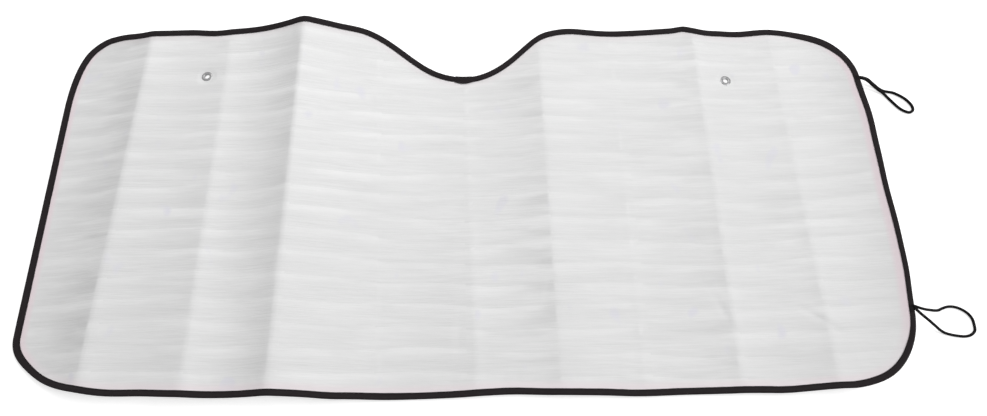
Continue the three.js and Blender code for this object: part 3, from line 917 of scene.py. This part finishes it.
def makeBinding(material):
    start, end = binding["underStart"], edgeLength + binding["lapEnd"]
    run = np.linspace(start, end, int((end - start) / binding["step"]))
    point, normal = alongEdge(run)
    lift = lapLift(run)
    under = 1 - smoothStep(*binding["pressed"], run)
    past = run - edgeLength
    tail = smoothStep(*binding["tailStart"], past) * (1 - 0.7 * smoothStep(*binding["tailEnd"], past))
    widening = binding["tail"] * tail
    narrow = faceShare(point)
    seed = binding["seed"]
    section = outerSide + innerSide
    rows = []
    uvs = []
    travelled = 0.0
    for index, (inset, height) in enumerate(section):
        sign = 1 if height > 0 else -1
        places = [(s, inset) for s in run]
        soft = uneven(places, binding["soft"], seed + sign * 4)
        slow = uneven(places, binding["slow"], seed + 20)
        inner = index >= len(outerSide)
        wave = 0 if inner else binding["puckerRise"] * soft + binding["slowRise"] * slow
        waver = binding["edgeWaver"][0] * slow + binding["edgeWaver"][1] * soft
        atEdge = (widening + waver) * (inset / binding["width"]) ** 2
        pressed = 0 if inner else under
        outside = inset < binding["outside"]
        shift = 0.45 * pressed - 0.4 * lift if outside else 0
        depth = inset * (1 if outside else narrow) + shift + atEdge
        flat = point + normal * depth[:, None]
        z = middleHeight(flat, depth, normal) + height * (1 - 0.12 * pressed)
        z = z + sign * (lift * min(1, abs(height) / 1.2) + wave)
        rows.append(np.column_stack([flat, z]))
        if index:
            travelled += math.dist(section[index - 1], (inset, height))
        uvs.append(np.column_stack([run * mm, np.full(len(run), travelled * mm)]))
    points = np.stack(rows, axis=1)
    faces = tubeFaces(len(run), len(section))
    piece = newPiece("boundEdge", points.reshape(-1, 3), faces, material, turnSmooth=62)
    addUv(piece, np.stack(uvs, axis=1).reshape(-1, 2))
    return piece


def tapeMaterial():
    material, graph = newMaterial("wovenTape")
    place = graph.add("ShaderNodeUVMap", {"uv_map": "along"})
    pitch = binding["weavePitch"] * mm
    along = graph.part(place, "X") / pitch
    across = graph.part(place, "Y") / pitch
    twill = graph.apply("SINE", (along + across) * math.pi * 2)
    rib = graph.apply("SINE", (along - across * 0.5) * math.pi * 4)
    fibre = graph.noise(place, (1500, 900, 1), detail=3)
    dust = graph.noise(place, (55, 160, 1), detail=4, roughness=0.65)
    height = graph.limit(0.5 + twill * 0.3 + rib * 0.15 + (fibre - 0.5) * 0.4)
    base = graph.mix(height, binding["dark"], binding["light"])
    colour = graph.mix(graph.ramp(dust, [(0.52, 0.0), (0.85, 0.4)]), base, binding["dusty"])
    bump = graph.bump(height, 0.5, 0.00025)
    rough = graph.limit(0.72 + (fibre - 0.5) * 0.3)
    finishMaterial(graph, {
        "Base Color": colour, "Roughness": rough, "Normal": bump, "Specular IOR Level": 0.13,
    })
    return material


tape = tapeMaterial()
bindingPiece = makeBinding(tape)
print("binding", len(bindingPiece.data.polygons), "faces")


# Stitches that hold the tape, on the face and on the back, and a tack over each cord's ends
tack = {
    "upper": (650.0, 205.0),
    "lower": (633.8, -196.0),
    "inset": 2.3,
    "width": 5.2,
    "length": 9.0,
    "level": (2.8, 2.78),  # above the sheet's middle, at the outer and the inner ends of its turns
    "turns": 10,
    "thread": 0.5,
    "samples": 5,  # steps along each stretch of thread
}
threadLook = {"dark": (0.005, 0.004, 0.0045, 1), "light": (0.019, 0.016, 0.0175, 1)}


def threadMaterial():
    material, graph = newMaterial("blackThread")
    place = graph.objectPlace()
    ply = graph.noise(place, (3000, 3000, 3000), detail=2)
    colour = graph.mix(ply, threadLook["dark"], threadLook["light"])
    bump = graph.bump(ply, 0.4, 0.0001)
    finishMaterial(graph, {
        "Base Color": colour, "Roughness": 0.65 + ply * 0.2, "Normal": bump, "Specular IOR Level": 0.13,
    })
    return material


def newLine(name, points):
    links = [(k, k + 1) for k in range(len(points) - 1)]
    mesh = bpy.data.meshes.new(name)
    mesh.from_pydata((np.asarray(points) * mm).tolist(), links, [])
    line = bpy.data.objects.new(name, mesh)
    bpy.context.scene.collection.objects.link(line)
    return line


def stitchRow(name, side, material, step=1.5):  # from just past the lap, once round and over it
    start = binding["lapEnd"] + binding["stitchGap"][0]
    end = edgeLength + binding["lapEnd"] - binding["stitchGap"][1]
    run = np.linspace(start, end, int((end - start) / step))
    point, normal = alongEdge(run)
    inset = binding["stitchInset"] * faceShare(point)
    flat = point + normal * inset[:, None]
    surface = binding["stitchLevel"] + lapLift(run)
    height = middleHeight(flat, inset, normal) + side * surface
    line = newLine(name + "Path", np.column_stack([flat, height]))
    sizes = [
        ("Pitch", "NodeSocketFloat", binding["stitchPitch"] * mm),
        ("Length", "NodeSocketFloat", binding["stitchLength"] * mm),
        ("Width", "NodeSocketFloat", binding["stitchWidth"] * mm),
        ("Seed", "NodeSocketInt", 3 if side > 0 else 8),
    ]
    tree, graph, given = geometryTree(name + "Tree", sizes)
    curve = graph.add("GeometryNodeMeshToCurve", {}, {0: given})
    spots = graph.add(
        "GeometryNodeCurveToPoints", {"mode": "LENGTH"}, {0: curve, "Length": graph.other(given, "Pitch")},
    )
    ball = graph.add("GeometryNodeMeshUVSphere", {}, {"Segments": 8, "Rings": 5, "Radius": 0.5})
    width = graph.other(given, "Width")
    stretch = graph.add("ShaderNodeCombineXYZ", {}, {0: width, 1: width, 2: graph.other(given, "Length")})
    stitch = graph.add("GeometryNodeTransform", {}, {0: ball, "Scale": stretch})
    smooth = graph.add("GeometryNodeSetShadeSmooth", {}, {0: stitch})
    facing = graph.add(
        "FunctionNodeAlignRotationToVector", {"axis": "Z"}, {"Vector": graph.other(spots, "Tangent")},
    )
    vary = graph.add(
        "FunctionNodeRandomValue", {"data_type": "FLOAT"},
        {2: 0.86, 3: 1.08, "Seed": graph.other(given, "Seed")}, output=1,
    )
    rows = graph.add(
        "GeometryNodeInstanceOnPoints", {},
        {0: spots, "Instance": smooth, "Rotation": facing, "Scale": vary},
    )
    closeTree(graph, rows, material)
    return applyTree(line, tree, sizes, name)


def tackThread(name, run, material):
    turns = tack["turns"]
    across = np.tile([0, 1], turns)
    along = np.repeat(np.arange(turns), 2) / (turns - 1)
    place = run + (along - 0.5) * tack["length"]
    point, normal = alongEdge(place)
    inset = tack["inset"] + across * tack["width"]
    flat = point + normal * inset[:, None]
    level = np.where(across > 0, tack["level"][1], tack["level"][0])
    corners = np.column_stack([flat, normal, inset, level])
    count = len(corners)
    steps = np.linspace(0, count - 1, (count - 1) * tack["samples"] + 1)
    dense = np.column_stack([np.interp(steps, np.arange(count), column) for column in corners.T])
    plan, aside, inset, level = dense[:, :2], dense[:, 2:4], dense[:, 4], dense[:, 5]
    line = newLine(name + "Path", np.column_stack([plan, middleHeight(plan, inset, aside) + level]))
    sizes = [("Thread", "NodeSocketFloat", tack["thread"] * mm)]
    tree, graph, given = geometryTree(name + "Tree", sizes)
    curve = graph.add("GeometryNodeMeshToCurve", {}, {0: given})
    ring = graph.add(
        "GeometryNodeCurvePrimitiveCircle", {},
        {"Resolution": 8, "Radius": graph.other(given, "Thread") * 0.5},
    )
    tube = graph.add("GeometryNodeCurveToMesh", {}, {0: curve, 1: ring, "Fill Caps": True})
    smooth = graph.add("GeometryNodeSetShadeSmooth", {}, {0: tube})
    closeTree(graph, smooth, material)
    return applyTree(line, tree, sizes, name)


def nearestRun(place):
    return float(edgeRun[np.argmin(np.linalg.norm(edge - place, axis=1))])


thread = threadMaterial()
stitchPieces = [
    stitchRow("stitchesFace", 1, thread),
    stitchRow("stitchesBack", -1, thread),
    tackThread("tackUpper", nearestRun(tack["upper"]), thread),
    tackThread("tackLower", nearestRun(tack["lower"]), thread),
]
print("stitches", sum(len(p.data.polygons) for p in stitchPieces), "faces")


# Eyelets and their washers: turned rings, square to the sheet where they sit
eyelet = {
    "steps": 72,
    "ring": [  # radius and height, from the rolled lip round to the bore
        (4.05, -1.65), (4.17, -1.87), (4.45, -1.95), (5.1, -1.95), (5.5, -1.89), (5.71, -1.71),
        (5.75, -1.45), (5.55, -1.35), (4.5, -1.35), (4.45, -1.25), (4.45, 0.6), (4.5, 0.7), (8.3, 0.7),
        (8.6, 0.76), (8.65, 0.92), (8.5, 1.14), (8.0, 1.32), (7.3, 1.44), (6.3, 1.48), (5.5, 1.45),
        (4.95, 1.34), (4.5, 1.1), (4.22, 0.8), (4.09, 0.4), (4.05, 0.0),
    ],
    "washer": [
        (4.75, -1.14), (4.83, -1.16), (6.8, -1.16), (7.1, -1.1), (7.28, -0.98), (7.3, -0.82),
        (7.22, -0.7), (4.85, -0.7), (4.75, -0.74),
    ],
    "bright": (0.29, 0.29, 0.293, 1),
    "stained": (0.19, 0.188, 0.185, 1),
}


def turnedPiece(name, profile, centre, material):
    ringSteps = eyelet["steps"]
    flat, slopeX, slopeY = seatPlane(centre)
    normal = Vector((-slopeX, -slopeY, 1)).normalized()
    tilt = Vector((0, 0, 1)).rotation_difference(normal).to_matrix()
    place = Vector((*centre, flat))
    points = []
    for step in range(ringSteps):
        angle = step / ringSteps * 2 * math.pi
        for radius, height in profile:
            local = Vector((radius * math.cos(angle), radius * math.sin(angle), height))
            points.append(tuple(tilt @ local + place))
    count = len(profile)
    faces = []
    for step in range(ringSteps):
        here, there = step * count, (step + 1) % ringSteps * count
        for k in range(count):
            after = (k + 1) % count
            faces.append((here + k, there + k, there + after, here + after))
    return newPiece(name, points, faces, material, turnSmooth=38)


def metalMaterial():
    material, graph = newMaterial("platedMetal")
    place = graph.objectPlace()
    grain = graph.noise(place, (900, 900, 900), detail=3)
    scratch = graph.noise(place, (260, 4200, 900), detail=2, turn=(0, 0, 0.7))
    stain = graph.noise(place, (330, 330, 330), detail=3)
    stained = graph.ramp(stain, [(0.4, 0.0), (0.75, 0.6)])
    colour = graph.mix(stained, eyelet["bright"], eyelet["stained"])
    rough = graph.limit(0.2 + grain * 0.12 + scratch * 0.12)
    bump = graph.bump(scratch, 0.12, 0.00006)
    finishMaterial(graph, {
        "Base Color": colour, "Metallic": 1.0, "Roughness": rough, "Normal": bump,
    })
    return material


metal = metalMaterial()
for side, centre in zip(("left", "right"), sheet["eyelets"]):
    for label, node in (("ring", "eyelet_"), ("washer", "eyelet_washer_")):
        piece = turnedPiece(side + label.capitalize(), eyelet[label], centre, metal)
        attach(piece, "root")
        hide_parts(node + side)

for piece, node, slot in (
    (sheetPiece, "shade_panel", "sheet_film"),
    (bindingPiece, "edge_binding", "binding_tape"),
):
    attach(piece, "root")
    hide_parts(node)
for piece in stitchPieces:
    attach(piece, "root")


# Room: a pale floor, a far key light from the right, a nearer one from behind and soft surroundings
room = {
    "floorHalf": 6.0,
    "floorColour": 0.8,
    "floorGlow": 0.64,
    "eyePaintedLight": 0.3,  # painted light, added to the floor under the eyes where the sheet shades it
    "eyeReach": (20, 30),  # where that begins to fade and where it ends
    "surroundings": 0.3,
    "key": {"place": (6.6, 0, 8.0), "size": 4.6, "power": 510},
    "top": {"place": (0, 1.9, 2.4), "size": 1.6, "power": 34},
}


def seenDirectly(graph):  # by the camera, in a reflection or through a clear piece
    path = graph.add("ShaderNodeLightPath")
    shares = [graph.other(path, "Is " + ray + " Ray") for ray in ("Camera", "Glossy", "Transmission")]
    return graph.limit(shares[0] + shares[1] + shares[2])


def makeFloor():
    material, graph = newMaterial("paleFloor")
    diffuse = graph.add("ShaderNodeBsdfDiffuse", {}, {0: grey(room["floorColour"])})
    place = graph.objectPlace()
    strength = room["floorGlow"]
    near, far = (reach / 100 for reach in room["eyeReach"])  # a ramp that is 100 mm long
    for x, y in sheet["eyelets"]:  # painted light where the floor is seen through the eyes, in the sheet's shadow
        ends = {0: place, 1: (x * mm, y * mm, 0)}
        offset = graph.add("ShaderNodeVectorMath", {"operation": "DISTANCE"}, ends, output="Value")
        strength = graph.ramp(offset * 10, [(near, room["eyePaintedLight"]), (far, 0.0)]) + strength
    glow = graph.add(
        "ShaderNodeEmission", {}, {0: (1, 1, 1, 1), 1: seenDirectly(graph) * strength},
    )
    both = graph.add("ShaderNodeAddShader", {}, {0: diffuse, 1: glow})
    graph.add("ShaderNodeOutputMaterial", {}, {0: both})
    half = room["floorHalf"] / mm
    corners = [(-half, -half, 0), (half, -half, 0), (half, half, 0), (-half, half, 0)]
    floor = newPiece("floor", corners, [(0, 1, 2, 3)], material)


def makeLight(name, light):
    data = bpy.data.lights.new(name, "AREA")
    data.shape = "SQUARE"
    data.size = light["size"]
    data.energy = light["power"]
    lamp = bpy.data.objects.new(name, data)
    bpy.context.scene.collection.objects.link(lamp)
    place = Vector(light["place"])
    lamp.location = place
    lamp.rotation_mode = "QUATERNION"
    lamp.rotation_quaternion = (-place).to_track_quat("-Z", "Y")


def makeWorld():
    world = bpy.data.worlds.new("surroundings")
    bpy.context.scene.world = world
    world.use_nodes = True
    graph = Graph(world.node_tree)
    strength = room["surroundings"] + seenDirectly(graph) * (1 - room["surroundings"])
    light = graph.add("ShaderNodeBackground", {}, {0: (1, 1, 1, 1), 1: strength})
    graph.add("ShaderNodeOutputWorld", {}, {0: light})


makeFloor()
makeLight("keyLight", room["key"])
makeLight("topLight", room["top"])
makeWorld()
print("room lit")
